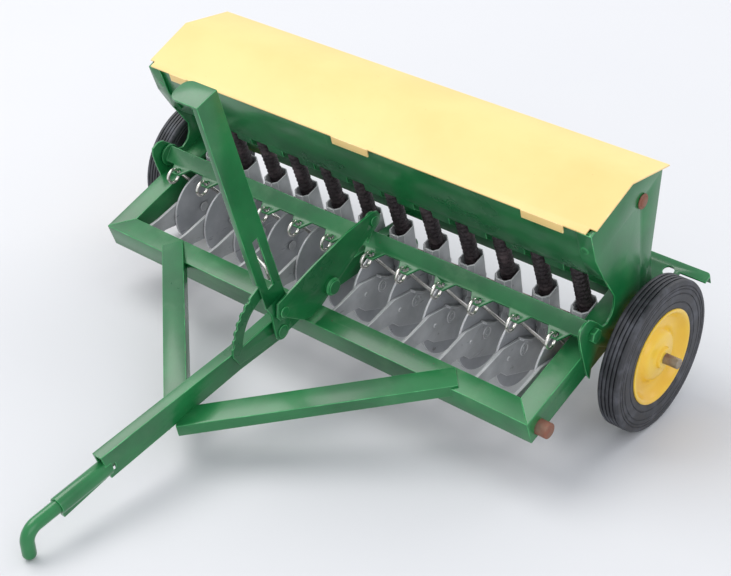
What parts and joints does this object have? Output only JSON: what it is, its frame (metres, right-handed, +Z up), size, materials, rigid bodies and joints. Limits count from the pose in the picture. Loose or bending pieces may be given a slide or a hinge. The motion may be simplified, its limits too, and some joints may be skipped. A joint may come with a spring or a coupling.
{
  "type": "toy grain drill",
  "caption": "Pull-behind toy grain drill: long lidded hopper over ribbed seed tubes and disc openers, raised by a hand lever, on two rubber-tyred wheels.",
  "frame": {"origin": "on the ground below the middle of the bounding box, with the drill standing on both wheels and on the tip of its hitch hook", "axes": "+X to the right side of the drill, +Y to the rear (away from the tongue), +Z up"},
  "size_m": [0.278, 0.2532, 0.1518],
  "materials": {
    "green_enamel": "gloss, worn edges",
    "lid_enamel": "satin, faded",
    "hub_enamel": "gloss",
    "tyre_rubber": "matte, dusty",
    "hose_rubber": "matte",
    "casting_grey": "dull satin",
    "bright_wire": "plated, dull",
    "bare_steel": "lightly rusted"
  },
  "bodies": {
    "frame": {"axle": "bare_steel", "brace_left": "green_enamel", "brace_right": "green_enamel", "end_plate_left": "green_enamel", "end_plate_right": "green_enamel", "footboard": "green_enamel", "frame_front_beam": "green_enamel", "frame_side_left": "green_enamel", "frame_side_right": "green_enamel", "hitch_hook": "green_enamel", "hopper": "green_enamel", "hopper_hinge_knuckles": "green_enamel", "hopper_rivets": "bare_steel", "lever_pivot_pin": "green_enamel", "lid_hinge_rod": "bare_steel", "opener_rod": "bare_steel", "quadrant": "green_enamel", "rear_beam": "green_enamel", "rocker_bolts": "green_enamel", "seed_tubes_left": "hose_rubber", "seed_tubes_right": "hose_rubber", "tongue": "green_enamel"},
    "lid": {"lid": "lid_enamel"},
    "wheel_left": {"wheel_left": "hub_enamel", "tyre_left": "tyre_rubber"},
    "wheel_right": {"wheel_right": "hub_enamel", "tyre_right": "tyre_rubber"},
    "lever": {"lever": "green_enamel", "latch_wire": "bright_wire"},
    "link": {"lift_link": "green_enamel", "link_front_pin": "green_enamel", "link_rear_pin": "green_enamel", "link_stud": "green_enamel"},
    "rocker": {"rocker_bar": "green_enamel"},
    "lift_rods": {"lift_rods_left": "bright_wire", "lift_rods_right": "bright_wire"},
    "openers": {"opener_left_1": "casting_grey", "opener_left_2": "casting_grey", "opener_left_3": "casting_grey", "opener_left_4": "casting_grey", "opener_left_5": "casting_grey", "opener_left_6": "casting_grey", "opener_right_1": "casting_grey", "opener_right_2": "casting_grey", "opener_right_3": "casting_grey", "opener_right_4": "casting_grey", "opener_right_5": "casting_grey", "opener_right_6": "casting_grey", "disc_rivets": "casting_grey"},
    "discs": {"discs_left": "casting_grey", "discs_right": "casting_grey"}
  },
  "joints": [
    {"name": "wheel_left_spin", "type": "hinge", "parent": "frame", "child": "wheel_left", "pos_m": [-0.126, 0.09275, 0.0325], "axis": [1, 0, 0], "continuous": true},
    {"name": "wheel_right_spin", "type": "hinge", "parent": "frame", "child": "wheel_right", "pos_m": [0.126, 0.09275, 0.0325], "axis": [1, 0, 0], "continuous": true},
    {"name": "lid_hinge", "type": "hinge", "parent": "frame", "child": "lid", "pos_m": [0, 0.10682, 0.10573], "axis": [1, 0, 0], "range_deg": [-100, 0]},
    {"name": "lift_lever", "type": "hinge", "parent": "frame", "child": "lever", "pos_m": [0.006, 0.00638, 0.03601], "axis": [1, 0, 0], "range_deg": [0, 30]},
    {"name": "link_pivot", "type": "hinge", "parent": "lever", "child": "link", "pos_m": [0.007, 0.00586, 0.04622], "axis": [1, 0, 0], "range_deg": [-30, 0]},
    {"name": "rocker_pivot", "type": "hinge", "parent": "frame", "child": "rocker", "pos_m": [0, 0.06195, 0.05314], "axis": [1, 0, 0], "range_deg": [0, 30]},
    {"name": "lift_rod_pivot", "type": "hinge", "parent": "rocker", "child": "lift_rods", "pos_m": [0, 0.05627, 0.05029], "axis": [1, 0, 0], "range_deg": [-35.4, 0]},
    {"name": "opener_pivot", "type": "hinge", "parent": "frame", "child": "openers", "pos_m": [0, 0.03054, 0.02702], "axis": [1, 0, 0], "range_deg": [-5.46, 0]},
    {"name": "disc_spin", "type": "hinge", "parent": "openers", "child": "discs", "pos_m": [0, 0.06617, 0.02971], "axis": [1, 0, 0], "continuous": true}
  ],
  "couplings": [
    {"joint": "link_pivot", "follows": "lift_lever", "ratio": -1},
    {"joint": "rocker_pivot", "follows": "lift_lever", "ratio": 1},
    {"joint": "lift_rod_pivot", "follows": "lift_lever", "ratio": -1.18},
    {"joint": "opener_pivot", "follows": "lift_lever", "ratio": -0.182}
  ]
}
